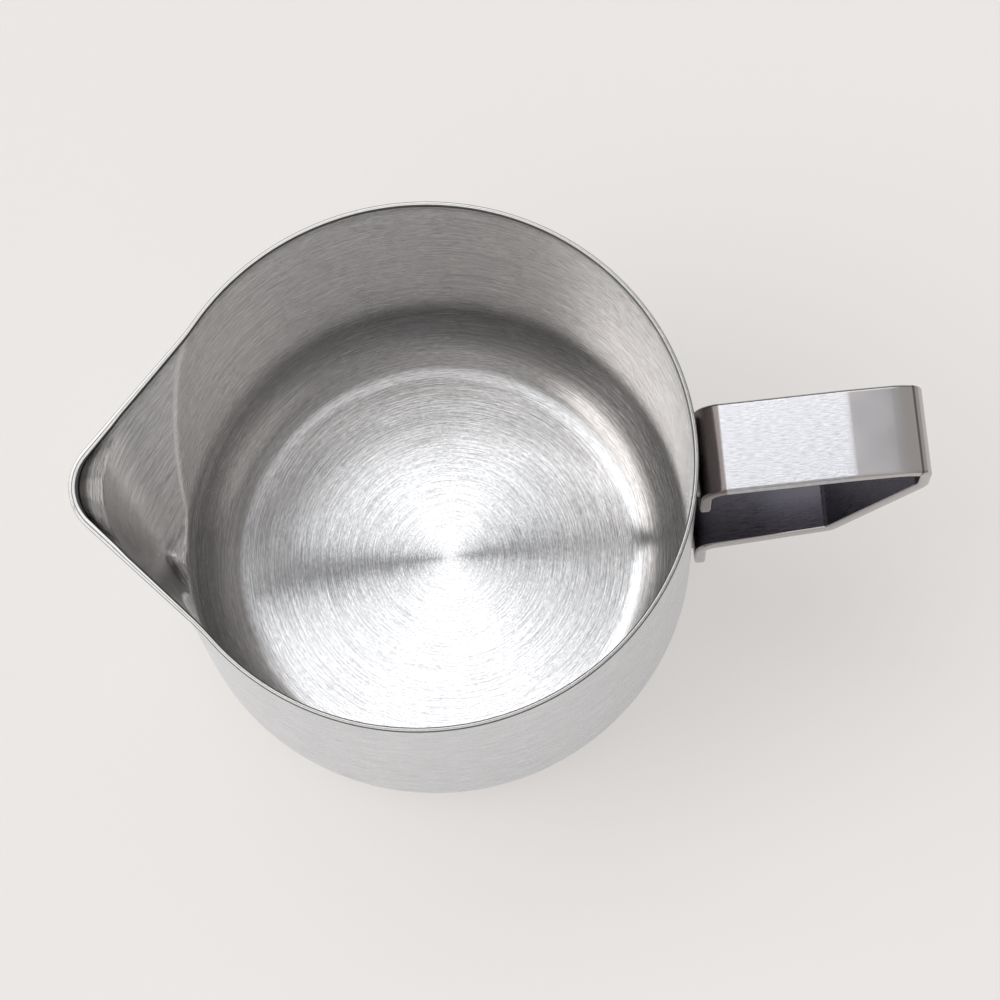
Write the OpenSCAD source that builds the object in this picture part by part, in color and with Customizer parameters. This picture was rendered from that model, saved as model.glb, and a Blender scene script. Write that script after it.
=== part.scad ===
// Candle melting pot: a drawn sheet vessel with a pressed pouring spout,
// and a bent strap handle that is spot welded to the wall.
// Units are millimetres. The origin is on the vessel axis at the resting face.
// +X points along the handle, -X along the spout, +Z is up.

/* [Vessel] */
// outer radius of the wall
vessel_r = 45; // [40:0.5:55]
// height of the rim above the resting face
vessel_h = 61; // [56:0.5:75]
// thickness of the sheet
sheet_t = 0.8; // [0.6:0.1:1.2]
// outer radius of the rounded corner between floor and wall
corner_r = 11; // [6:0.5:13]

/* [Spout] */
// reach of the inside of the spout tip from the axis, at the rim
spout_tip_reach = 56.2; // [55:0.2:57]
// inside radius of the spout tip in plan, at the rim
spout_tip_round = 8; // [7:0.5:10]
// half angle that the spout takes out of the rim
spout_rim_half_angle = 38; // [36:0.5:40]
// height of the turned-out pouring lip
spout_lip_h = 3.3; // [2.6:0.1:4]
// width of the cut edge at the tip, where the lip leans out
spout_lip_edge = 1.3; // [1.1:0.05:1.5]
// reach of the inside of the spout where the lip starts
spout_throat_reach = 52.2; // [51.6:0.1:52.6]
// inside radius of the spout in plan where the lip starts
spout_throat_round = 17.5; // [14:0.5:18]
// height of the centre of the rounded foot of the spout
spout_foot_z = 18; // [16:0.5:22]
// inside radius of the rounded foot of the spout
spout_foot_round = 3.4; // [2.8:0.1:4.5]

/* [Handle] */
// width of the strap
strap_w = 15.4; // [12:0.2:18]
// thickness of the strap
strap_t = 2; // [1.6:0.1:2.4]
// distance from the axis to the outer face of the handle
handle_reach = 83; // [78:0.5:92]
// height of the top leg at the wall, on the middle of the strap
top_leg_z = 52.5; // [50:0.5:54]
// rise of the top leg from the wall to the outer corner
top_leg_rise = 2.9; // [0:0.1:4]
// height of the bend between the outer face and the slanted leg
knee_z = 47.6; // [45:0.1:48.5]
// distance from the axis to the bend between slanted and lower leg
heel_x = 68.2; // [62:0.1:72]
// height of the bend between slanted and lower leg
heel_z = 25.5; // [23:0.1:28]
// height of the lower leg at the wall, on the middle of the strap
low_leg_z = 19.8; // [19:0.1:22]
// lowest point of the upper flange
top_flange_z = 42.8; // [42:0.1:44]
// lowest point of the lower flange
low_flange_z = 10.6; // [10:0.1:11.4]

/* [Welds] */
// radius of a spot weld nugget
weld_r = 2; // [1.5:0.1:2.2]
// distance of each nugget from the middle of the strap
weld_y = 3.8; // [3:0.1:4.5]
// height of the two upper nuggets
top_weld_z = 46.4; // [46:0.1:46.8]
// height of the two lower nuggets
low_weld_z = 14.2; // [13.8:0.1:14.6]

/* [Hidden] */

$fn = 96;
cut = 1;
slice_h = 0.04;

vessel_inner_r = vessel_r - sheet_t;
lip_z = vessel_h - spout_lip_h;
post_r = 0.3;
post_x = vessel_inner_r - post_r - 0.25;
lip_lean = (spout_tip_reach - spout_throat_reach) / spout_lip_h;
lip_root_turn = 1.5;
lip_start_out = 1.3;
lip_start_in = 0.6;
foot_half_angle = 11.5;
throat_half_angle = spout_rim_half_angle - 5;
foot_reach = vessel_inner_r + 3.4;
foot_post_z = spout_foot_z - 0.4;

// the pressed part runs on behind the lip, up to the rim
body_run = spout_lip_h / (lip_z - spout_foot_z);
body_top_reach = spout_throat_reach
    + body_run * (spout_throat_reach - foot_reach);
body_top_round = spout_throat_round
    + body_run * (spout_throat_round - spout_foot_round);
body_top_half_angle = throat_half_angle + 1.8;

// clear space between the flat flanges and the wall, at the middle
wall_gap = 0.1;
flange_x = vessel_r + wall_gap + strap_t / 2;
face_x = handle_reach - strap_t / 2;
strap_half = strap_t / 2;
corner_bend = 3.6;
knee_bend = 4.2;
heel_bend = 2.4;
low_bend = 3.2;

// middle line of the strap, seen from the side as [x, z]
strap_path = [
    [flange_x, top_flange_z],
    [flange_x, top_leg_z],
    [face_x, top_leg_z + top_leg_rise],
    [face_x, knee_z],
    [heel_x, heel_z],
    [flange_x, low_leg_z],
    [flange_x, low_flange_z]
];
strap_bends = [0, corner_bend, corner_bend, knee_bend, heel_bend, low_bend, 0];
last_point = len(strap_path) - 1;
bend_steps = 16;

// the nugget sinks into both sheets
weld_in = 0.6;
weld_x = vessel_r - weld_in;
weld_len = weld_in + wall_gap + 0.8;

function unit(v) = v / norm(v);
function heading(v) = atan2(v[1], v[0]);

// half of the angle between the two legs that meet at point i
function half_angle(i) =
    acos(unit(strap_path[i - 1] - strap_path[i])
        * unit(strap_path[i + 1] - strap_path[i])) / 2;

// unit vector to the left of the run from point i to point i + 1
function left_of(i) =
    let (d = unit(strap_path[i + 1] - strap_path[i])) [-d[1], d[0]];

// centre of the bend at point i
function bend_centre(i) =
    strap_path[i]
    + unit(unit(strap_path[i - 1] - strap_path[i])
        + unit(strap_path[i + 1] - strap_path[i]))
    * strap_bends[i] / sin(half_angle(i));

// side of the path that the bend at point i turns to: 1 left, -1 right
function turn_side(i) =
    cross(strap_path[i] - strap_path[i - 1],
        strap_path[i + 1] - strap_path[i]) > 0 ? 1 : -1;

// outline of a round pan with a rounded bottom corner, for turning
module pan_outline(r, h, c) {
    square([r - c, h]);
    translate([0, c])
        square([r, h - c]);
    translate([r - c, c])
        circle(r = c);
}

// one level of the spout: the rounded nose and the two roots in the wall
module spout_level(z, reach, nose_r, half_angle, grow, nose_grow, h) {
    translate([nose_r - reach, 0, z])
        cylinder(r = nose_r + nose_grow, h = h, $fn = 64);
    for (side = [-1, 1])
        rotate([0, 0, 180 + side * half_angle])
            translate([post_x, 0, z])
                cylinder(r = post_r + grow, h = h, $fn = 24);
}

// pressed part of the spout, from its foot up to the rim
module spout_body(grow, top_h) {
    hull() {
        translate([spout_foot_round - foot_reach, 0, spout_foot_z])
            sphere(r = spout_foot_round + grow, $fn = 32);
        for (side = [-1, 1])
            rotate([0, 0, 180 + side * foot_half_angle])
                translate([post_x - 1, 0, foot_post_z])
                    sphere(r = post_r + 1 + grow, $fn = 24);
        spout_level(vessel_h, body_top_reach, body_top_round,
            body_top_half_angle, grow, grow, top_h);
    }
}

// turned-out pouring lip; it starts inside the pressed part, start below it
module spout_lip(grow, nose_grow, start, top_h) {
    hull() {
        spout_level(lip_z - start, spout_throat_reach - lip_lean * start,
            spout_throat_round, throat_half_angle - lip_root_turn, grow,
            nose_grow, slice_h);
        spout_level(vessel_h, spout_tip_reach, spout_tip_round,
            spout_rim_half_angle, grow, nose_grow, top_h);
    }
}

// one spot weld nugget, lying along X
module nugget(side, z) {
    translate([weld_x, side * weld_y, z])
        rotate([0, 90, 0])
            cylinder(r = weld_r, h = weld_len, $fn = 48);
}

module all_nuggets() {
    for (side = [-1, 1]) {
        nugget(side, top_weld_z);
        nugget(side, low_weld_z);
    }
}

// points along one face of the strap; off is its distance from the middle line,
// positive to the left of the path
function face_points(off) = [
    for (i = [0 : last_point])
        if (i == 0 || i == last_point)
            strap_path[i] + off * left_of(i == 0 ? 0 : i - 1)
        else
            let (
                side = turn_side(i),
                sweep = 180 - 2 * half_angle(i),
                start = heading(left_of(i - 1)) + (side > 0 ? 180 : 0),
                r = strap_bends[i] - side * off
            )
            for (k = [0 : bend_steps])
                bend_centre(i) + r * [
                    cos(start + side * sweep * k / bend_steps),
                    sin(start + side * sweep * k / bend_steps)
                ]
];

function reversed(list) =
    [for (i = [len(list) - 1 : -1 : 0]) list[i]];

// the whole strap seen from the side
module strap_outline() {
    polygon(concat(
        face_points(strap_half),
        reversed(face_points(-strap_half))
    ));
}

module vessel() {
    color([0.78, 0.78, 0.79])
        difference() {
            union() {
                rotate_extrude($fn = 160)
                    pan_outline(vessel_r, vessel_h + cut, corner_r);
                spout_body(sheet_t, cut);
                spout_lip(sheet_t, spout_lip_edge, lip_start_out, cut);
            }
            translate([0, 0, sheet_t])
                rotate_extrude($fn = 160)
                    pan_outline(vessel_inner_r, vessel_h + cut,
                        corner_r - sheet_t);
            spout_body(0, 2 * cut);
            spout_lip(0, 0, lip_start_in, 2 * cut);
            translate([-2 * vessel_r, -2 * vessel_r, vessel_h])
                cube([4 * vessel_r, 4 * vessel_r, 3 * cut]);
            all_nuggets();
        }
}

module handle_strap() {
    color([0.72, 0.72, 0.74])
        difference() {
            rotate([90, 0, 0])
                linear_extrude(strap_w, center = true)
                    strap_outline();
            all_nuggets();
        }
}

module weld(side, z) {
    color([0.62, 0.62, 0.64])
        nugget(side, z);
}

module upper_weld_left() {
    weld(1, top_weld_z);
}

module upper_weld_right() {
    weld(-1, top_weld_z);
}

module lower_weld_left() {
    weld(1, low_weld_z);
}

module lower_weld_right() {
    weld(-1, low_weld_z);
}

vessel();
handle_strap();
upper_weld_left();
upper_weld_right();
lower_weld_left();
lower_weld_right();
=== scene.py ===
"""Candle melting pot in brushed stainless steel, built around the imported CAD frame.

The vessel and the strap handle are fine meshes that replace their CAD nodes. The four spot weld
nuggets stay as CAD nodes with a material of their own. Shapes are worked out in millimetres, in
the frame of the part: +X along the handle, -X along the spout, +Z up.
"""

import math

import bpy
import numpy as np
from mathutils import Matrix, Vector


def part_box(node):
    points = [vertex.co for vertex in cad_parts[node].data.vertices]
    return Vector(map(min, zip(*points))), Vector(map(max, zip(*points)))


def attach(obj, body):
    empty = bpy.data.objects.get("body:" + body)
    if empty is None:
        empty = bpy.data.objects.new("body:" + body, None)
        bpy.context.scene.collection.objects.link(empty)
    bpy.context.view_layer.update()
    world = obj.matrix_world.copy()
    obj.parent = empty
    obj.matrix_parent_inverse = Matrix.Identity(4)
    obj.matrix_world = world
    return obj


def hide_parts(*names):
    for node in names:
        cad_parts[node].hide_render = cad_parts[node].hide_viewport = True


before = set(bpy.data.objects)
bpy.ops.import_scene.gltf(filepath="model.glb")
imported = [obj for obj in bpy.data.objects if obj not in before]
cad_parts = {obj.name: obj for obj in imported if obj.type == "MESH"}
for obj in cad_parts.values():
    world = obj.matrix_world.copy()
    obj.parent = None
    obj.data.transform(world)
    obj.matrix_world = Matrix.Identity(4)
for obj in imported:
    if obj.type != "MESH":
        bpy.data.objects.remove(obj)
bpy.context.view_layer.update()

MM = 0.001
vessel_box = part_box("vessel")
strap_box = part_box("handle_strap")

# ---------------------------------------------------------------- vessel sizes, mm and degrees
SHEET_T = 0.8
WALL_OUT_R = round(vessel_box[1].y / MM, 1)
WALL_IN_R = WALL_OUT_R - SHEET_T
RIM_Z = round(vessel_box[1].z / MM, 1)
CORNER_OUT_R = 11.0
CORNER_IN_R = CORNER_OUT_R - SHEET_T
FLAT_R = WALL_OUT_R - CORNER_OUT_R

# A level of the spout is a rounded nose with a thin root sunk in the wall on each side. Its reach
# is the distance from the axis to the inside of the nose, its half angle that of the roots.
ROOT_R = 0.3
ROOT_SINK = 0.25
ROOT_X = WALL_IN_R - ROOT_R - ROOT_SINK
# fall of the spout's surface behind its root, so that the wall takes over, mm for each radian
ROOT_FALL = 12.0

# pressed part of the spout, from its rounded foot up past the throat, where the lip starts
FOOT_Z = 18.0
FOOT_ROUND = 3.4
FOOT_OUT = 3.4
FOOT_REACH = WALL_IN_R + FOOT_OUT
FOOT_HALF_ANGLE = 11.5
FOOT_ROOT_GROW = 1.0
THROAT_REACH = 52.2
THROAT_ROUND = 17.5
THROAT_HALF_ANGLE = 33.0
BODY_TOP_TURN = 1.8

# turned-out pouring lip; it starts a little below the throat, inside and outside
LIP_EDGE = 1.3
LIP_H = 3.3
LIP_Z = RIM_Z - LIP_H
LIP_ROOT_TURN = 1.5
LIP_START_IN = 0.6
LIP_START_OUT = 1.3
TIP_REACH = -vessel_box[0].x / MM - LIP_EDGE
TIP_ROUND = 8.0
RIM_HALF_ANGLE = 38.0
LIP_LEAN = (TIP_REACH - THROAT_REACH) / LIP_H

# softness of the pressed creases, rounding of the rim's edges, and the dark line along its top
# as shares of the top's width; the edges and the line are a dark burr with painted shade on it
CREASE_SOFT = 0.3
LIP_SOFT = 0.3
RIM_EDGE_IN = 0.22
RIM_EDGE_OUT = 0.14
RIM_LINE_FROM, RIM_LINE_TO = 0.44, 0.58

# spacing of the mesh: degrees round the axis, and (from, to, step) stretches over floor and wall
FINE_STEP, COARSE_STEP = 0.4, 1.5
FINE_HALF_ANGLE = 44.0
CORNER_RINGS = 24
EDGE_RINGS = 5
FLOOR_STRETCHES = ((0.6, 6.0, 1.35), (6.0, FLAT_R, 2.8))
WALL_STRETCHES = (
    (CORNER_OUT_R, 14.0, 0.75),
    (14.0, 19.0, 0.25),
    (19.0, 54.0, 1.25),
    (54.0, RIM_Z - RIM_EDGE_IN, 0.2),
)
# the burr kind is a dark burr colour that also paints the shade on the rim's rounded edges and top line
VESSEL_KINDS = ("inside", "rim", "burr_and_edge_shade", "outside")

# ---------------------------------------------------------------- strap sizes, mm and degrees
STRAP_T = 2.0
STRAP_W = (strap_box[1].y - strap_box[0].y) / MM
WALL_GAP = 0.1
FLANGE_X = WALL_OUT_R + WALL_GAP + STRAP_T / 2
FACE_X = strap_box[1].x / MM - STRAP_T / 2
TOP_FLANGE_DROP = 13.6
TOP_LEG_Z, TOP_LEG_RISE = 52.5, 2.9
# the top leg turns down by a few degrees at the kink, and by more at the bow before the outer corner
KINK_X, KINK_TURN = 70.3, 3.0
BOW_X, BOW_TURN = 79.05, 19.7
KNEE_Z = 47.6
HEEL_X, HEEL_Z = 68.2, 25.5
LOW_LEG_Z = 19.8
# bend radii on the middle line, from the upper flange round to the lower one
STRAP_BENDS = (3.6, 25.0, 9.0, 1.5, 4.2, 2.4, 3.2)
# places along the top leg where its painted shade and reflection change
FIRST_BEND_END, BOW_START, CREASE_X = 49.5, 70.1, 81.0

# rounding of the strap's long edges and ends, and spacing of its mesh
STRAP_EDGE = 0.55
STRAP_EDGE_LEAST = 0.12
STRAP_FACE_MARGIN = 0.06
STRAP_EDGE_STEPS = 6
STRAP_FACE_STEPS = 8
STRAP_END_STEP = 18
BEND_STEPS = 14
LEG_STEP = 1.5
STRAP_KINDS = ("outer", "inner")

# ---------------------------------------------------------------- photograph's view
CAMERA_AT = Vector((17.5, -143.8, 518.9)) * MM
CAMERA_RIGHT = Vector((0.9964, -0.0778, -0.0345))
CAMERA_FORWARD = Vector((-0.0110, 0.2845, -0.9586))
CAMERA_LENS = 106.66
CAMERA_CLIP = (0.01, 20.0)

# ---------------------------------------------------------------- studio light
# The sky's level by direction: x, y and z are parts of the unit way in the frame of the part, and
# a dot product with a named way is 1 toward it. Each span is where a change begins and ends.
SIDE_WAY = (-1.0, 0.0, 0.0)
SIDE_SPAN = (0.9, -0.9)
SKY_NEAR, SKY_FAR = 1.00, 0.40
LOW_SPAN = (0.0, 0.6)
SKY_LOW_SHARE = 0.72
FRONT_SPAN = (-0.02, 0.30)
FRONT_SHARE = 0.95
BACK_SPAN = (0.55, 0.85)
BACK_SHARE = 0.35
# bright cap overhead, cut off toward the front
CAP_WAY = (-0.10, 0.32, 0.942)
CAP_SPAN = (0.84, 0.985)
CAP_EXTRA = 1.6
CAP_CUT_SPAN = (0.065, 0.195)
CAP_CUT_SHARE = 0.10
# window at the left
WINDOW_WAY = (-0.75, 0.0, 0.66)
WINDOW_SPAN = (0.86, 0.97)
WINDOW_EXTRA = 2.2
# dark bar across the sky, wider and less dark toward the right
BAR_Y = 0.262
BAR_SPAN = (0.026, 0.046)
BAR_HALF, BAR_HALF_RIGHT = 0.024, 0.15
BAR_SOFT = 0.012
BAR_LEVEL, BAR_LEVEL_RIGHT = 0.20, 0.55
WARM_TINT = (1.0, 0.962, 0.940)
COOL_TINT = (0.975, 0.99, 1.02)

# ---------------------------------------------------------------- table
TABLE_HALF = 3.0
TABLE_DROP = 0.00005
TABLE_GLOW = 0.48
TABLE_GLOW_TINT = (1.0, 0.97, 0.94, 1.0)

# ---------------------------------------------------------------- look of the brushing
# the range that a noise mostly stays in, and the turn that draws highlights out across the brushing
NOISE_SPAN = (0.3, 0.7)
QUARTER_TURN = 0.25
# share of a way out into the spout that counts along the brushing, and the least radius used, mm
PRESSED_STRETCH = 0.35
LEAST_RADIUS = 0.05

# ---------------------------------------------------------------- look of the inside, mm
# marks of the brushing: lines per mm, breaks per turn, detail, roughness of the noise
INSIDE_MARKS = {
    "rings": (3.2, 1.0, 3.0, 0.7),
    "arcs": (5.2, 2.2, 2.0, 0.5),
    "dashes": (4.4, 20.0, 1.0, 0.5),
    "scratches": (4.2, 24.0, 2.0, 0.6),
    "long_lines": (7.0, 5.0, 2.0, 0.5),
}
# the centre of the floor's brushing lies a little off the axis, toward +X
BRUSHING_SHIFT = 2.0
# relief, roughness and depth of scratches change from floor to wall over these heights
SCRATCH_SPAN, SCRATCH_DEPTH = (SHEET_T, 8.0), (0.08, 0.9)
RELIEF_SPAN, RELIEF_DEPTH = (SHEET_T, 9.0), (0.24, 1.4)
ROUGH_SPAN = (SHEET_T, 6.0)
FLOOR_ROUGH, WALL_ROUGH, SPOUT_ROUGH = 0.15, 0.24, 0.13
MARKS_SPAN = (4.0, 12.0)
# painted shade and light as shares of the steel's own brightness: in the rounded corner, on the
# wall, and in the band and the dark line under the rim
CORNER_SHADE_SHARE, WALL_LIGHT_SHARE = 0.50, 1.12
INTO_CORNER = (SHEET_T + 0.02, SHEET_T + 0.45)
OUT_OF_CORNER = (8.0, 20.0)
RIM_SHADE_SHARE, RIM_SHADE_SPAN = 0.72, (RIM_Z - 3.0, RIM_Z - 0.6)
RIM_SHADE_LINE_SHARE, RIM_SHADE_LINE_SPAN = 0.15, (RIM_Z - 0.55, RIM_Z - 0.4)
TIP_SHADE, TIP_SHADE_SPAN = 0.75, (RIM_Z - 1.7, RIM_Z - 0.9)
# distances outside the round wall: where the spout begins, its painted fold highlight, its painted tip
# shade
SPOUT_SPAN = (0.1, 0.5)
FOLD_HIGHLIGHT_IN, FOLD_HIGHLIGHT_OUT = (0.02, 0.15), (0.20, 0.50)
FOLD_STEP_SPAN, FOLD_STEP = (0.02, 0.45), 2.5
TIP_SPAN = (6.0, 9.5)


# ================================================================ shape of the vessel
def soft_max(a, b, k):
    """The larger of a and b, with the corner between them rounded over k."""
    near = np.maximum(k - np.abs(a - b), 0.0) / k
    return np.maximum(a, b) + near * near * k / 4


def spout_level(reach, nose_r, half_angle, root_x=ROOT_X, root_r=ROOT_R):
    """Nose centre, nose radius, root place and root radius of one level of the spout."""
    turn = math.radians(half_angle)
    root_place = (root_x * math.cos(turn), root_x * math.sin(turn))
    return np.array((reach - nose_r, nose_r, *root_place, root_r))


def spout_radius(az, level, nose_grow, root_grow):
    """Distance from the axis to the spout's surface at azimuths az, measured from -X."""
    nose_c, nose_r, root_x, root_y, root_r = level
    nose_r = nose_r + nose_grow
    root_r = root_r + root_grow
    run_x, run_y = nose_c - root_x, -root_y
    tangent = math.atan2(run_y, run_x) + math.acos((root_r - nose_r) / math.hypot(run_x, run_y))
    support = nose_c * math.cos(tangent) + nose_r
    nose_end = math.atan2(nose_r * math.sin(tangent), nose_c + nose_r * math.cos(tangent))
    root_end = math.atan2(root_y + root_r * math.sin(tangent), root_x + root_r * math.cos(tangent))
    a = np.abs(az)
    nose = nose_c * np.cos(a) + np.sqrt(np.maximum(nose_r**2 - (nose_c * np.sin(a)) ** 2, 0.0))
    flank = support / np.cos(np.minimum(a, root_end) - tangent)
    fall = ROOT_FALL * np.maximum(a - root_end, 0.0)
    return np.where(a <= nose_end, nose, flank) - fall


def blend_level(low, high, z_low, z_high, z):
    """Level of the spout at height z on the line through two given ones."""
    return low + (high - low) * (z - z_low) / (z_high - z_low)


def body_levels():
    """Levels of the pressed part at its foot and at the rim, where it runs on behind the lip."""
    run_on = LIP_H / (LIP_Z - FOOT_Z)
    foot = spout_level(
        FOOT_REACH, FOOT_ROUND, FOOT_HALF_ANGLE, ROOT_X - FOOT_ROOT_GROW, ROOT_R + FOOT_ROOT_GROW
    )
    top = spout_level(
        THROAT_REACH + run_on * (THROAT_REACH - FOOT_REACH),
        THROAT_ROUND + run_on * (THROAT_ROUND - FOOT_ROUND),
        THROAT_HALF_ANGLE + BODY_TOP_TURN,
    )
    return foot, top


def body_radius(az, z, grow):
    """Distance from the axis to the pressed part of the spout at height z."""
    foot, top = body_levels()
    foot_r = FOOT_ROUND + grow
    sink = max(FOOT_Z - z, 0.0)
    drop = foot_r - math.sqrt(max(foot_r**2 - sink**2, 0.0))
    level = blend_level(foot, top, FOOT_Z, RIM_Z, max(z, FOOT_Z))
    return spout_radius(az, level, grow - drop, grow - drop)


def lip_radius(az, z, grow, nose_grow, start):
    """Distance from the axis to the turned-out lip at height z; start is its depth below the throat."""
    root = spout_level(THROAT_REACH - LIP_LEAN * start, THROAT_ROUND, THROAT_HALF_ANGLE - LIP_ROOT_TURN)
    tip = spout_level(TIP_REACH, TIP_ROUND, RIM_HALF_ANGLE)
    level = blend_level(root, tip, LIP_Z - start, RIM_Z, z)
    return spout_radius(az, level, nose_grow, grow)


def wall_radius(az, z, outside):
    """Radius of the inside or outside face of the upright wall and spout at height z."""
    grow = SHEET_T if outside else 0.0
    nose_grow = LIP_EDGE if outside else 0.0
    lip_start = LIP_START_OUT if outside else LIP_START_IN
    radius = np.full_like(az, WALL_OUT_R if outside else WALL_IN_R)
    if z > FOOT_Z - FOOT_ROUND - grow:
        radius = soft_max(radius, body_radius(az, z, grow), CREASE_SOFT)
    if z > LIP_Z - lip_start:
        radius = soft_max(radius, lip_radius(az, z, grow, nose_grow, lip_start), LIP_SOFT)
    return radius


def spaced(stretches):
    """Places that run through (from, to, step) stretches, without repeats."""
    out = []
    for start, end, step in stretches:
        count = max(1, round((end - start) / step))
        out += [start + (end - start) * i / count for i in range(count)]
    return out + [stretches[-1][1]]


def vessel_columns():
    """Azimuths round the vessel from -X, close together where the spout is."""
    fine, coarse = math.radians(FINE_STEP), math.radians(COARSE_STEP)
    edge = math.radians(FINE_HALF_ANGLE)
    rest = 2 * math.pi - 2 * edge
    spout = np.arange(-edge, edge - fine / 2, fine)
    wall = np.linspace(edge, 2 * math.pi - edge, round(rest / coarse), endpoint=False)
    return np.concatenate((spout, wall))


def vessel_rows(az):
    """(radius, height, kind of the faces after it) of each ring, from floor over rim to base."""
    turned = (az + math.pi) % (2 * math.pi) - math.pi
    whole = np.ones_like(az)
    floor_r = spaced(FLOOR_STRETCHES)
    wall_z = spaced(WALL_STRETCHES)[1:-1]
    bend = np.radians(np.linspace(-90, 0, CORNER_RINGS + 1))[1:]
    edge_turn = np.radians(np.linspace(0, 90, EDGE_RINGS + 1))

    def corner(radius, angle, kind):
        """Ring of the rounded bottom corner."""
        reach = FLAT_R + radius * math.cos(angle)
        return whole * reach, CORNER_OUT_R + radius * math.sin(angle), kind

    rows = [(whole * r, SHEET_T, "inside") for r in floor_r]
    rows += [corner(CORNER_IN_R, b, "inside") for b in bend]
    rows += [(wall_radius(turned, z, False), z, "inside") for z in wall_z]
    # the rim's rounded edges and the line along its top take the dark burr kind: a burr with painted
    # shade
    for t in edge_turn[:-1]:
        z = RIM_Z - RIM_EDGE_IN * (1 - math.sin(t))
        rows.append((wall_radius(turned, z, False) + RIM_EDGE_IN * (1 - math.cos(t)), z, "burr_and_edge_shade"))
    inner_edge = wall_radius(turned, RIM_Z, False) + RIM_EDGE_IN
    outer_edge = wall_radius(turned, RIM_Z, True) - RIM_EDGE_OUT
    for share, kind in ((0.0, "rim"), (RIM_LINE_FROM, "burr_and_edge_shade"), (RIM_LINE_TO, "rim")):
        rows.append((inner_edge + (outer_edge - inner_edge) * share, RIM_Z, kind))
    for t in edge_turn[::-1]:
        z = RIM_Z - RIM_EDGE_OUT * (1 - math.sin(t))
        rows.append((wall_radius(turned, z, True) - RIM_EDGE_OUT * (1 - math.cos(t)), z, "burr_and_edge_shade"))
    rows += [(wall_radius(turned, z, True), z, "outside") for z in wall_z[::-1] + [CORNER_OUT_R]]
    rows += [corner(CORNER_OUT_R, b, "outside") for b in bend[::-1][1:]]
    rows += [(whole * r, 0.0, "outside") for r in floor_r[::-1]]
    return rows


def make_object(name, points, faces, face_kinds, kinds):
    """A smooth mesh object from points in millimetres, whose faces take the material index of their
    kind.
    """
    mesh = bpy.data.meshes.new(name)
    mesh.from_pydata((np.asarray(points) * MM).tolist(), [], faces)
    mesh.polygons.foreach_set("use_smooth", [True] * len(mesh.polygons))
    mesh.polygons.foreach_set("material_index", [kinds.index(k) for k in face_kinds])
    mesh.update()
    piece = bpy.data.objects.new(name, mesh)
    bpy.context.scene.collection.objects.link(piece)
    return piece


def build_vessel():
    """The whole sheet as one closed skin: rings joined by quads, a fan at each end."""
    az = vessel_columns()
    rows = vessel_rows(az)
    count = len(az)
    points = [(0.0, 0.0, SHEET_T)]
    for radius, z, _ in rows:
        ring = (-radius * np.cos(az), radius * np.sin(az), np.full(count, z))
        points += np.column_stack(ring).tolist()
    points.append((0.0, 0.0, 0.0))

    first, last, end = 1, 1 + (len(rows) - 1) * count, len(points) - 1
    faces = [(0, first + (c + 1) % count, first + c) for c in range(count)]
    kinds = ["inside"] * count
    for r, (_, _, kind) in enumerate(rows[:-1]):
        low, high = first + r * count, first + (r + 1) * count
        for c in range(count):
            n = (c + 1) % count
            faces.append((low + c, low + n, high + n, high + c))
            kinds.append(kind)
    faces += [(end, last + c, last + (c + 1) % count) for c in range(count)]
    kinds += ["outside"] * count
    return make_object("melting_pot_vessel", points, faces, kinds, VESSEL_KINDS)


# ================================================================ shape of the strap
def climb(run, degrees):
    """Height gained over a level run at a slope in degrees."""
    return run * math.tan(math.radians(degrees))


def strap_corners():
    """Corners of the strap's middle line seen from the side, from the upper flange to the lower."""
    slope = math.degrees(math.atan2(TOP_LEG_RISE, FACE_X - FLANGE_X))
    kink_z = TOP_LEG_Z + climb(KINK_X - FLANGE_X, slope)
    bow_z = kink_z + climb(BOW_X - KINK_X, slope - KINK_TURN)
    outer_z = bow_z + climb(FACE_X - BOW_X, slope - KINK_TURN - BOW_TURN)
    corners = (
        (FLANGE_X, strap_box[1].z / MM - TOP_FLANGE_DROP),
        (FLANGE_X, TOP_LEG_Z),
        (KINK_X, kink_z),
        (BOW_X, bow_z),
        (FACE_X, outer_z),
        (FACE_X, KNEE_Z),
        (HEEL_X, HEEL_Z),
        (FLANGE_X, LOW_LEG_Z),
        (FLANGE_X, strap_box[0].z / MM),
    )
    return [Vector(corner) for corner in corners]


def bend_points(before, corner, after, radius):
    """Points round a bend of the given radius that touches both legs of a corner."""
    back = (before - corner).normalized()
    on = (after - corner).normalized()
    half = math.acos(max(-1.0, min(1.0, back.dot(on)))) / 2
    centre = corner + (back + on).normalized() * radius / math.sin(half)
    start = corner + back * radius / math.tan(half) - centre
    side = 1 if (-back).cross(on) > 0 else -1
    sweep = side * (math.pi - 2 * half)
    return [centre + Matrix.Rotation(sweep * k / BEND_STEPS, 2) @ start for k in range(BEND_STEPS + 1)]


def strap_line():
    """Points along the middle line of the strap, with its bends and even steps on its legs."""
    corners = strap_corners()
    places = [corners[0]]
    for i, radius in enumerate(STRAP_BENDS, start=1):
        places += bend_points(corners[i - 1], corners[i], corners[i + 1], radius)
    places.append(corners[-1])
    line = [places[0]]
    for a, b in zip(places, places[1:]):
        count = max(1, math.ceil((b - a).length / LEG_STEP))
        line += [a.lerp(b, k / count) for k in range(1, count + 1)]
    return line


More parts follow.
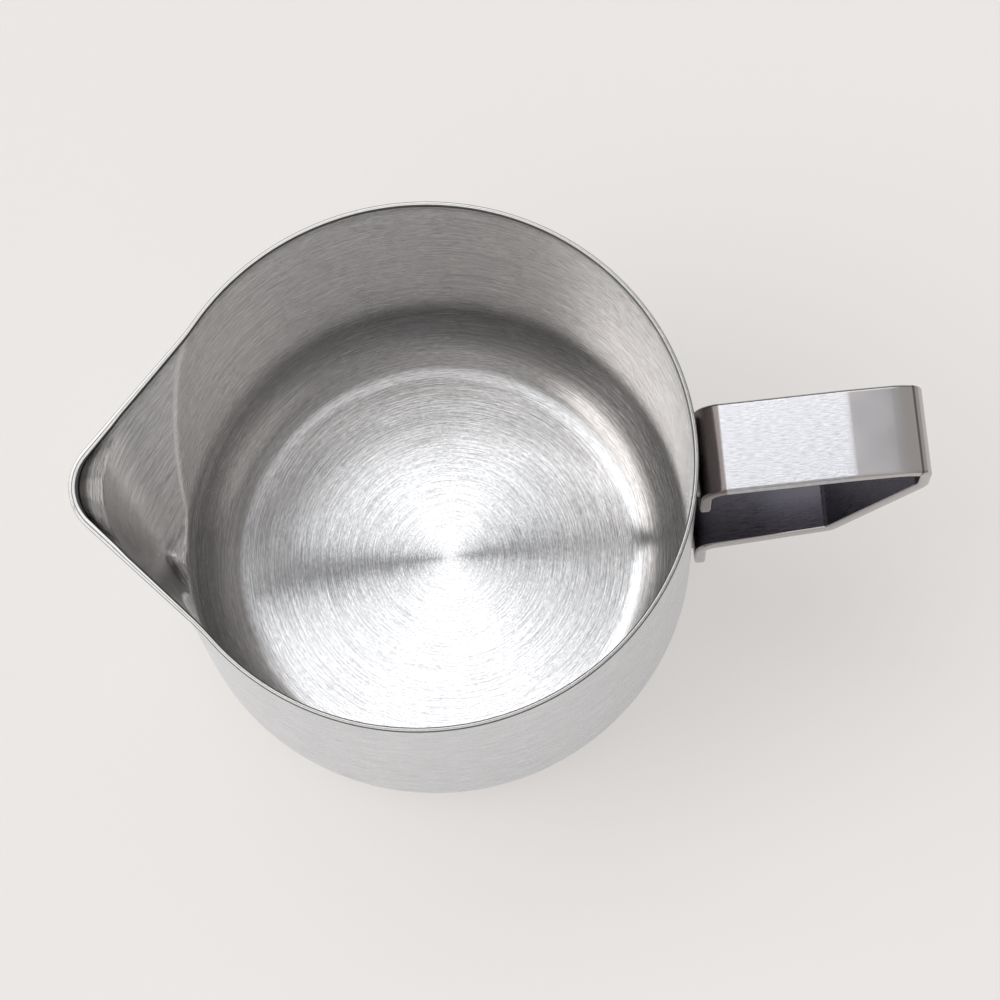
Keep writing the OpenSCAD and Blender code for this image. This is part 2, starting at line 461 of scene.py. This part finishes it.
def strap_section(inset):
    """Section of the strap as (across, through) points, drawn in by inset."""
    half_w, half_t = STRAP_W / 2 - inset, STRAP_T / 2 - inset
    edge = max(STRAP_EDGE - inset, STRAP_EDGE_LEAST)
    reach = half_w - edge - STRAP_FACE_MARGIN
    points = []
    for turn, (side, face) in enumerate(((1, 1), (-1, 1), (-1, -1), (1, -1))):
        centre = (side * (half_w - edge), face * (half_t - edge))
        for k in range(STRAP_EDGE_STEPS + 1):
            a = math.radians(90 * turn + 90 / STRAP_EDGE_STEPS * k)
            points.append((centre[0] + edge * math.cos(a), centre[1] + edge * math.sin(a)))
        if side == face:
            for k in range(STRAP_FACE_STEPS + 1):
                points.append((side * reach * (1 - 2 * k / STRAP_FACE_STEPS), face * half_t))
    return points


def strap_stations(line):
    """(place, heading, inset, length) of each ring of the strap; the ends are rounded off."""
    headings = []
    for i in range(len(line)):
        before, after = line[max(i - 1, 0)], line[min(i + 1, len(line) - 1)]
        headings.append((after - before).normalized())
    run = [0.0]
    for a, b in zip(line, line[1:]):
        run.append(run[-1] + (b - a).length)
    ends = []
    for degrees in range(90, 0, -STRAP_END_STEP):
        turn = math.radians(degrees)
        ends.append((STRAP_EDGE * (1 - math.sin(turn)), STRAP_EDGE * (1 - math.cos(turn))))
    stations = [(line[0] + headings[0] * along, headings[0], inset, along) for along, inset in ends]
    for i in range(len(line)):
        if STRAP_EDGE <= run[i] <= run[-1] - STRAP_EDGE:
            stations.append((line[i], headings[i], 0.0, run[i]))
    for along, inset in reversed(ends):
        stations.append((line[-1] - headings[-1] * along, headings[-1], inset, run[-1] - along))
    return stations


def build_strap():
    """The strap as one closed skin, with a UV map of length along it and distance across it."""
    points, lengths = [], []
    stations = strap_stations(strap_line())
    for place, heading, inset, length in stations:
        normal = Vector((-heading.y, heading.x))
        for across, through in strap_section(inset):
            points.append((place.x + normal.x * through, across, place.y + normal.y * through))
            lengths.append((length, across))

    # a side is on the inner face when both of its ends lie half the thickness inward
    depth = [through for _, through in strap_section(0.0)]
    count = len(depth)
    inner_depth = 0.01 - STRAP_T
    faces, kinds = [], []
    for s in range(len(stations) - 1):
        a, b = s * count, (s + 1) * count
        for c in range(count):
            n = (c + 1) % count
            faces.append((a + c, b + c, b + n, a + n))
            kinds.append("inner" if depth[c] + depth[n] < inner_depth else "outer")
    faces.append(tuple(range(count)))
    faces.append(tuple(reversed(range((len(stations) - 1) * count, len(stations) * count))))
    kinds += ["outer", "outer"]

    piece = make_object("strap_handle", points, faces, kinds, STRAP_KINDS)
    layer = piece.data.uv_layers.new(name="grain")
    for loop in piece.data.loops:
        layer.data[loop.index].uv = lengths[loop.vertex_index]
    return piece


def length_at(x):
    """Length along the strap from its upper end to where the middle line of its top leg reaches x."""
    line, run = strap_line(), 0.0
    for a, b in zip(line, line[1:]):
        if a.x <= x < b.x:
            return run + (b - a).length * (x - a.x) / (b.x - a.x)
        run += (b - a).length
    return run


# ================================================================ materials
class Nodes:
    """Adds and links the nodes of one material or of the world."""

    def __init__(self, owner):
        owner.use_nodes = True
        self.owner = owner
        self.tree = owner.node_tree
        self.tree.nodes.clear()

    def add(self, kind, inputs=None, **settings):
        """A node; each input is a socket to link from, or a value to set."""
        node = self.tree.nodes.new(kind)
        for key, value in settings.items():
            setattr(node, key, value)
        for socket, value in (inputs or {}).items():
            if isinstance(value, bpy.types.NodeSocket):
                self.tree.links.new(value, node.inputs[socket])
            else:
                node.inputs[socket].default_value = value
        return node

    def math(self, operation, a, b=0.0):
        return self.add("ShaderNodeMath", {0: a, 1: b}, operation=operation).outputs[0]

    def product(self, first, *others):
        for other in others:
            first = self.math("MULTIPLY", first, other)
        return first

    def weighted(self, *pairs):
        """Sum of (value, weight) pairs."""
        total = self.product(*pairs[0])
        for value, weight in pairs[1:]:
            total = self.math("ADD", total, self.product(value, weight))
        return total

    def vector(self, x, y, z):
        return self.add("ShaderNodeCombineXYZ", {0: x, 1: y, 2: z}).outputs[0]

    def parts(self, vector):
        return self.add("ShaderNodeSeparateXYZ", {0: vector}).outputs

    def scaled(self, vector, scale):
        inputs = {0: vector, "Scale": scale}
        return self.add("ShaderNodeVectorMath", inputs, operation="SCALE").outputs[0]

    def toward(self, vector, way):
        """Dot product with a fixed way."""
        inputs = {0: vector, 1: way}
        return self.add("ShaderNodeVectorMath", inputs, operation="DOT_PRODUCT").outputs["Value"]

    def noise(self, vector, scale, detail=3.0, roughness=0.6):
        inputs = {"Vector": vector, "Scale": scale, "Detail": detail, "Roughness": roughness}
        return self.add("ShaderNodeTexNoise", inputs).outputs["Fac"]

    def remap(self, value, span, out, shape="LINEAR"):
        """Value taken from one (from, to) span to another, and held at its ends."""
        inputs = {
            "Value": value,
            "From Min": span[0],
            "From Max": span[1],
            "To Min": out[0],
            "To Max": out[1],
        }
        return self.add("ShaderNodeMapRange", inputs, interpolation_type=shape).outputs["Result"]

    def smooth(self, value, span, out):
        """The same with an eased start and end."""
        return self.remap(value, span, out, "SMOOTHSTEP")

    def colours(self, factor, dark, light):
        ramp = self.add("ShaderNodeValToRGB", {"Fac": factor})
        ramp.color_ramp.elements[0].color = (*dark, 1)
        ramp.color_ramp.elements[1].color = (*light, 1)
        return ramp.outputs["Color"]

    def mix(self, factor, first, second):
        """Colour that goes from first to a fixed second colour."""
        node = self.add("ShaderNodeMix", data_type="RGBA")
        self.tree.links.new(factor, node.inputs["Factor"])
        self.tree.links.new(first, node.inputs["A"])
        node.inputs["B"].default_value = (*second, 1)
        return node.outputs["Result"]

    def bump(self, height, distance, strength=1.0):
        inputs = {"Height": height, "Distance": distance, "Strength": strength}
        return self.add("ShaderNodeBump", inputs).outputs["Normal"]

    def steel(self, colour, roughness, normal, anisotropy, turn, tangent):
        """Finishes the material as bare metal whose highlight is drawn out across the brushing."""
        inputs = {
            "Base Color": colour,
            "Metallic": 1.0,
            "Roughness": roughness,
            "Normal": normal,
            "Anisotropic": anisotropy,
            "Anisotropic Rotation": turn,
            "Tangent": tangent,
        }
        shader = self.add("ShaderNodeBsdfPrincipled", inputs)
        self.add("ShaderNodeOutputMaterial", {"Surface": shader.outputs[0]})
        return self.owner


def turned_grain(nodes, centre_shift):
    """Coordinates for brushing round the axis, all in millimetres apart from cosine and sine."""
    place = nodes.scaled(nodes.add("ShaderNodeTexCoord").outputs["Object"], 1 / MM)
    place_x, y, height = nodes.parts(place)
    shift = nodes.remap(height, (0.0, CORNER_OUT_R), (centre_shift, 0.0))
    x = nodes.math("SUBTRACT", place_x, shift)
    radius = nodes.math("SQRT", nodes.weighted((x, x), (y, y)))
    safe = nodes.math("MAXIMUM", radius, LEAST_RADIUS)
    pressed = nodes.math("SUBTRACT", radius, WALL_IN_R)
    stretch = nodes.product(nodes.math("MAXIMUM", pressed, 0.0), PRESSED_STRETCH)
    flat = nodes.math("MINIMUM", radius, WALL_IN_R)
    tangent = nodes.vector(nodes.product(y, -1.0), x, 0.0)
    return {
        "place": place,
        "height": height,
        "pressed": pressed,
        "profile": nodes.math("ADD", nodes.math("ADD", height, flat), stretch),
        "cosine": nodes.math("DIVIDE", x, safe),
        "sine": nodes.math("DIVIDE", y, safe),
        "tangent": nodes.add("ShaderNodeVectorMath", {0: tangent}, operation="NORMALIZE").outputs[0],
    }


def turned_noise(nodes, grain, lines, breaks, detail, roughness):
    """Noise drawn out round the axis: lines per mm of profile, and breaks per turn."""
    place = nodes.vector(
        nodes.product(grain["profile"], lines),
        nodes.product(grain["cosine"], breaks),
        nodes.product(grain["sine"], breaks),
    )
    return nodes.noise(place, 1.0, detail, roughness)


def inside_painted_shade(nodes, grain):
    """Painted shade and light on the steel: darker in the rounded corner, under the rim and at the tip,
    lighter on the wall.
    """
    height = grain["height"]
    # painted shade: a darker band and a near-black line just under the rim
    rim_shade = nodes.smooth(height, RIM_SHADE_SPAN, (1.0, RIM_SHADE_SHARE))
    line = nodes.smooth(height, RIM_SHADE_LINE_SPAN, (1.0, RIM_SHADE_LINE_SHARE))
    # painted shade: a dark band just inside the spout's tip
    at_tip = nodes.smooth(grain["pressed"], TIP_SPAN, (0.0, 1.0))
    tip = nodes.product(at_tip, nodes.smooth(height, TIP_SHADE_SPAN, (0.0, TIP_SHADE)))
    # painted shade darkens the rounded corner, and painted light brightens the wall above it
    into_corner = nodes.smooth(height, INTO_CORNER, (1.0, CORNER_SHADE_SHARE))
    out_of_corner = nodes.smooth(height, OUT_OF_CORNER, (0.0, WALL_LIGHT_SHARE - CORNER_SHADE_SHARE))
    corner = nodes.math("ADD", into_corner, out_of_corner)
    return nodes.product(rim_shade, line, nodes.math("SUBTRACT", 1.0, tip), corner)


def inside_colour(nodes, grain, marks):
    """Colour of the inside: brushed tone, dark dashes on the wall, a painted highlight on the spout's
    fold line, all scaled by painted shade and light.
    """
    height, pressed = grain["height"], grain["pressed"]
    tone = nodes.weighted((marks["arcs"], 0.5), (marks["scratches"], 0.5))
    tone = nodes.remap(tone, (0.36, 0.64), (0.0, 1.0))
    colour = nodes.colours(tone, (0.50, 0.495, 0.492), (0.88, 0.875, 0.872))
    on_wall = nodes.smooth(height, MARKS_SPAN, (0.0, 1.0))
    dashes = nodes.product(nodes.smooth(marks["dashes"], (0.60, 0.68), (0.0, 0.5)), on_wall)
    colour = nodes.mix(dashes, colour, (0.22, 0.21, 0.20))
    # painted highlight: near-white colour along the spout's fold line
    highlight_in = nodes.smooth(pressed, FOLD_HIGHLIGHT_IN, (0.0, 1.0))
    highlight_out = nodes.smooth(pressed, FOLD_HIGHLIGHT_OUT, (1.0, 0.0))
    colour = nodes.mix(nodes.product(highlight_in, highlight_out, 0.95), colour, (0.98, 0.97, 0.96))
    return nodes.scaled(colour, inside_painted_shade(nodes, grain))


def inside_roughness(nodes, grain, marks, in_spout):
    """Roughness of the inside: smooth floor, rougher wall, smooth spout, a little uneven."""
    cloud = nodes.noise(grain["place"], 0.07, 3.0, 0.5)
    rough = nodes.smooth(grain["height"], ROUGH_SPAN, (FLOOR_ROUGH, WALL_ROUGH))
    rough = nodes.math("SUBTRACT", rough, nodes.product(in_spout, WALL_ROUGH - SPOUT_ROUGH))
    rough = nodes.math("ADD", rough, nodes.remap(marks["long_lines"], NOISE_SPAN, (-0.04, 0.04)))
    return nodes.math("ADD", rough, nodes.remap(cloud, NOISE_SPAN, (-0.02, 0.02)))


def inside_relief(nodes, grain, marks, in_spout):
    """Relief of the brushing and of the spout's fold line, in tenths of a millimetre."""
    scratch_depth = nodes.smooth(grain["height"], SCRATCH_SPAN, SCRATCH_DEPTH)
    relief = nodes.weighted(
        (marks["rings"], 0.5),
        (marks["scratches"], scratch_depth),
        (marks["long_lines"], 0.5),
        (marks["arcs"], 0.4),
    )
    depth = nodes.smooth(grain["height"], RELIEF_SPAN, RELIEF_DEPTH)
    depth = nodes.product(depth, nodes.math("SUBTRACT", 1.0, nodes.product(in_spout, 0.6)))
    step = nodes.smooth(grain["pressed"], FOLD_STEP_SPAN, (0.0, FOLD_STEP))
    return nodes.math("ADD", nodes.product(relief, depth), step)


def inside_steel():
    nodes = Nodes(bpy.data.materials.new("brushed_steel_inside"))
    grain = turned_grain(nodes, BRUSHING_SHIFT)
    marks = {name: turned_noise(nodes, grain, *numbers) for name, numbers in INSIDE_MARKS.items()}
    in_spout = nodes.smooth(grain["pressed"], SPOUT_SPAN, (0.0, 1.0))
    colour = inside_colour(nodes, grain, marks)
    rough = inside_roughness(nodes, grain, marks, in_spout)
    normal = nodes.bump(inside_relief(nodes, grain, marks, in_spout), 0.1 * MM)
    return nodes.steel(colour, rough, normal, 1.0, QUARTER_TURN, grain["tangent"])


def rim_steel():
    nodes = Nodes(bpy.data.materials.new("ground_steel_rim"))
    grain = turned_grain(nodes, 0.0)
    lines = turned_noise(nodes, grain, 6.0, 30.0, 3.0, 0.6)
    colour = nodes.colours(lines, (0.40, 0.39, 0.37), (0.60, 0.59, 0.57))
    rough = nodes.remap(lines, NOISE_SPAN, (0.16, 0.28))
    normal = nodes.bump(lines, 0.01 * MM, 0.5)
    return nodes.steel(colour, rough, normal, 0.3, QUARTER_TURN, grain["tangent"])


# dark colour on the rim's edges: partly a real burr, partly painted shade of the rounded edges
def burr_and_edge_shade_steel():
    nodes = Nodes(bpy.data.materials.new("burr_with_painted_edge_shade"))
    grain = turned_grain(nodes, 0.0)
    grit = turned_noise(nodes, grain, 8.0, 60.0, 3.0, 0.6)
    colour = nodes.colours(grit, (0.06, 0.057, 0.055), (0.20, 0.195, 0.19))
    rough = nodes.remap(grit, NOISE_SPAN, (0.3, 0.45))
    normal = nodes.bump(grit, 0.01 * MM, 0.6)
    return nodes.steel(colour, rough, normal, 0.2, QUARTER_TURN, grain["tangent"])


def outside_steel():
    nodes = Nodes(bpy.data.materials.new("satin_steel_outside"))
    grain = turned_grain(nodes, 0.0)
    lines = turned_noise(nodes, grain, 2.4, 9.0, 4.0, 0.6)
    cloud = nodes.noise(grain["place"], 0.05, 3.0, 0.5)
    tone = nodes.remap(lines, NOISE_SPAN, (0.0, 1.0))
    colour = nodes.colours(tone, (0.56, 0.575, 0.60), (0.80, 0.815, 0.84))
    rough = nodes.remap(lines, NOISE_SPAN, (0.22, 0.32))
    rough = nodes.math("ADD", rough, nodes.remap(cloud, NOISE_SPAN, (-0.03, 0.03)))
    normal = nodes.bump(lines, 0.03 * MM)
    return nodes.steel(colour, rough, normal, 0.5, QUARTER_TURN, grain["tangent"])


def strap_grain(nodes):
    """Length and width coordinates of the strap, and the direction of its brushing."""
    uv = nodes.add("ShaderNodeUVMap", uv_map="grain").outputs[0]
    length, across, _ = nodes.parts(uv)
    tangent = nodes.add("ShaderNodeTangent", direction_type="UV_MAP", uv_map="grain").outputs[0]
    return length, across, tangent


def strap_noise(nodes, length, across, breaks, lines):
    """Noise drawn out along the strap: breaks and lines per mm."""
    place = nodes.vector(nodes.product(length, breaks), nodes.product(across, lines), 0.0)
    return nodes.noise(place, 1.0, 3.0, 0.6)


def strap_colour(nodes, length, lines):
    """Colour of the strap: painted dark reflection at the first bend, painted warmer reflection past the
    bow, painted shade on the crease.
    """
    bow, first_end = length_at(BOW_START), length_at(FIRST_BEND_END)
    tone = nodes.remap(lines, NOISE_SPAN, (0.0, 1.0))
    colour = nodes.colours(tone, (0.39, 0.387, 0.398), (0.555, 0.552, 0.563))
    # painted reflection: a warmer, greyer colour where the top leg bows down
    past_bow_reflection = nodes.smooth(length, (bow - 0.6, bow + 0.6), (0.0, 0.5))
    colour = nodes.mix(past_bow_reflection, colour, (0.53, 0.495, 0.475))
    # painted dark reflection: the first bend darkened brown
    first_bend_shade = nodes.smooth(length, (first_end - 0.35, first_end + 0.05), (1.0, 0.0))
    colour = nodes.mix(nodes.product(first_bend_shade, 0.9), colour, (0.15, 0.125, 0.115))
    # painted shade: a dark line along the outer crease
    from_crease = nodes.math("ABSOLUTE", nodes.math("SUBTRACT", length, length_at(CREASE_X)))
    crease_shade = nodes.smooth(from_crease, (0.08, 0.22), (0.85, 0.0))
    return nodes.mix(crease_shade, colour, (0.12, 0.115, 0.12))


def strap_steel():
    nodes = Nodes(bpy.data.materials.new("polished_steel_strap"))
    length, across, tangent = strap_grain(nodes)
    cloud = nodes.noise(nodes.vector(length, across, 3.0), 0.12, 3.0, 0.5)
    # the brushing fades where the strap bows down
    bow = length_at(BOW_START)
    fade = nodes.smooth(length, (bow - 1.0, bow + 1.5), (1.0, 0.15))
    lines = nodes.math("SUBTRACT", strap_noise(nodes, length, across, 0.7, 7.0), 0.5)
    lines = nodes.math("ADD", nodes.product(lines, fade), 0.5)
    colour = strap_colour(nodes, length, lines)
    rough = nodes.remap(lines, NOISE_SPAN, (0.13, 0.2))
    rough = nodes.math("ADD", rough, nodes.remap(cloud, NOISE_SPAN, (-0.02, 0.03)))
    normal = nodes.bump(lines, 0.01 * MM, 0.8)
    return nodes.steel(colour, rough, normal, 0.4, QUARTER_TURN, tangent)


# painted shade: the strap's inner faces coloured near black, like the shaded inside of the loop
def strap_inner_shaded_steel():
    nodes = Nodes(bpy.data.materials.new("strap_inside_painted_shade"))
    length, across, tangent = strap_grain(nodes)
    lines = strap_noise(nodes, length, across, 0.4, 4.0)
    tone = nodes.remap(lines, NOISE_SPAN, (0.0, 1.0))
    colour = nodes.colours(tone, (0.12, 0.113, 0.135), (0.155, 0.147, 0.168))
    rough = nodes.remap(lines, NOISE_SPAN, (0.24, 0.36))
    normal = nodes.bump(lines, 0.003 * MM, 0.8)
    return nodes.steel(colour, rough, normal, 0.3, QUARTER_TURN, tangent)


def weld_steel():
    nodes = Nodes(bpy.data.materials.new("weld_nugget_steel"))
    place = nodes.add("ShaderNodeTexCoord").outputs["Object"]
    grit = nodes.noise(place, 1800.0, 4.0, 0.6)
    tint = nodes.noise(place, 500.0, 2.0, 0.5)
    colour = nodes.colours(tint, (0.36, 0.31, 0.27), (0.58, 0.55, 0.53))
    rough = nodes.remap(grit, NOISE_SPAN, (0.35, 0.6))
    tangent = nodes.add("ShaderNodeTangent", direction_type="RADIAL", axis="X").outputs[0]
    return nodes.steel(colour, rough, nodes.bump(grit, 0.03 * MM), 0.2, 0.0, tangent)


def table_paper():
    nodes = Nodes(bpy.data.materials.new("pale_table"))
    place = nodes.add("ShaderNodeTexCoord").outputs["Object"]
    cloud = nodes.noise(place, 3.0, 3.0, 0.5)
    fine = nodes.noise(place, 900.0, 2.0, 0.5)
    inputs = {
        "Base Color": nodes.colours(cloud, (0.345, 0.342, 0.338), (0.358, 0.355, 0.351)),
        "Roughness": 0.75,
        "Normal": nodes.bump(fine, 0.02 * MM, 0.3),
        "Specular IOR Level": 0.2,
        "Emission Color": TABLE_GLOW_TINT,
        "Emission Strength": TABLE_GLOW,
    }
    shader = nodes.add("ShaderNodeBsdfPrincipled", inputs)
    nodes.add("ShaderNodeOutputMaterial", {"Surface": shader.outputs[0]})
    return nodes.owner


# ================================================================ stage
def build_floor():
    """A wide table top just under the pot."""
    mesh = bpy.data.meshes.new("table_top")
    ways = ((-1, -1), (1, -1), (1, 1), (-1, 1))
    corners = [(x * TABLE_HALF, y * TABLE_HALF, -TABLE_DROP) for x, y in ways]
    mesh.from_pydata(corners, [], [(0, 1, 2, 3)])
    floor = bpy.data.objects.new("table_top", mesh)
    floor.data.materials.append(table_paper())
    bpy.context.scene.collection.objects.link(floor)


def sky_base(nodes, way):
    """Even part of the sky: brighter on the left, darker low down, in front and at the back."""
    _, y, z = nodes.parts(way)
    level = nodes.remap(nodes.toward(way, SIDE_WAY), SIDE_SPAN, (SKY_NEAR, SKY_FAR))
    low = nodes.remap(z, LOW_SPAN, (SKY_LOW_SHARE, 1.0))
    front = nodes.smooth(nodes.product(y, -1.0), FRONT_SPAN, (1.0, FRONT_SHARE))
    back = nodes.smooth(y, BACK_SPAN, (1.0, BACK_SHARE))
    return nodes.product(level, low, front, back)


def with_bar(nodes, way, level):
    """The sky's level with the dark bar laid over it."""
    x, y, _ = nodes.parts(way)
    half = nodes.smooth(x, BAR_SPAN, (BAR_HALF, BAR_HALF_RIGHT))
    bar = nodes.smooth(x, BAR_SPAN, (BAR_LEVEL, BAR_LEVEL_RIGHT))
    off = nodes.math("ABSOLUTE", nodes.math("SUBTRACT", y, BAR_Y))
    clear = nodes.smooth(nodes.math("SUBTRACT", off, half), (-BAR_SOFT, BAR_SOFT), (0.0, 1.0))
    return nodes.math("ADD", bar, nodes.product(nodes.math("SUBTRACT", level, bar), clear))


def build_light():
    """A graded studio sky: a bright cap overhead with a dark bar, a window at left, a dark back."""
    world = bpy.data.worlds.new("studio")
    bpy.context.scene.world = world
    nodes = Nodes(world)
    way = nodes.add("ShaderNodeTexCoord").outputs["Generated"]
    overhead = nodes.toward(way, CAP_WAY)
    cap = nodes.smooth(overhead, CAP_SPAN, (0.0, CAP_EXTRA))
    cap = nodes.product(cap, nodes.smooth(nodes.parts(way)[1], CAP_CUT_SPAN, (CAP_CUT_SHARE, 1.0)))
    window = nodes.smooth(nodes.toward(way, WINDOW_WAY), WINDOW_SPAN, (0.0, WINDOW_EXTRA))
    level = nodes.math("ADD", nodes.math("ADD", sky_base(nodes, way), cap), window)
    colour = nodes.colours(nodes.smooth(overhead, CAP_SPAN, (0.0, 1.0)), WARM_TINT, COOL_TINT)
    inputs = {"Color": colour, "Strength": with_bar(nodes, way, level)}
    shader = nodes.add("ShaderNodeBackground", inputs)
    nodes.add("ShaderNodeOutputWorld", {"Surface": shader.outputs[0]})


def build_camera():
    """A long lens above and a little in front of the pot."""
    data = bpy.data.cameras.new("camera")
    data.lens = CAMERA_LENS
    data.clip_start, data.clip_end = CAMERA_CLIP
    camera = bpy.data.objects.new("camera", data)
    back = -CAMERA_FORWARD.normalized()
    right = (CAMERA_RIGHT - back * CAMERA_RIGHT.dot(back)).normalized()
    up = back.cross(right)
    camera.matrix_world = Matrix.Translation(CAMERA_AT) @ Matrix((right, up, back)).transposed().to_4x4()
    bpy.context.scene.collection.objects.link(camera)
    bpy.context.scene.camera = camera


# ================================================================ the scene
bpy.context.scene.view_settings.view_transform = "Standard"
build_camera()
build_light()
build_floor()

vessel = build_vessel()
for make in (inside_steel, rim_steel, burr_and_edge_shade_steel, outside_steel):
    vessel.data.materials.append(make())
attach(vessel, "root")
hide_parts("vessel")

strap = build_strap()
for make in (strap_steel, strap_inner_shaded_steel):
    strap.data.materials.append(make())
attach(strap, "root")
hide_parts("handle_strap")

weld_look = weld_steel()
for node_name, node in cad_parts.items():
    if "weld" in node_name:
        node.data.materials.clear()
        node.data.materials.append(weld_look)
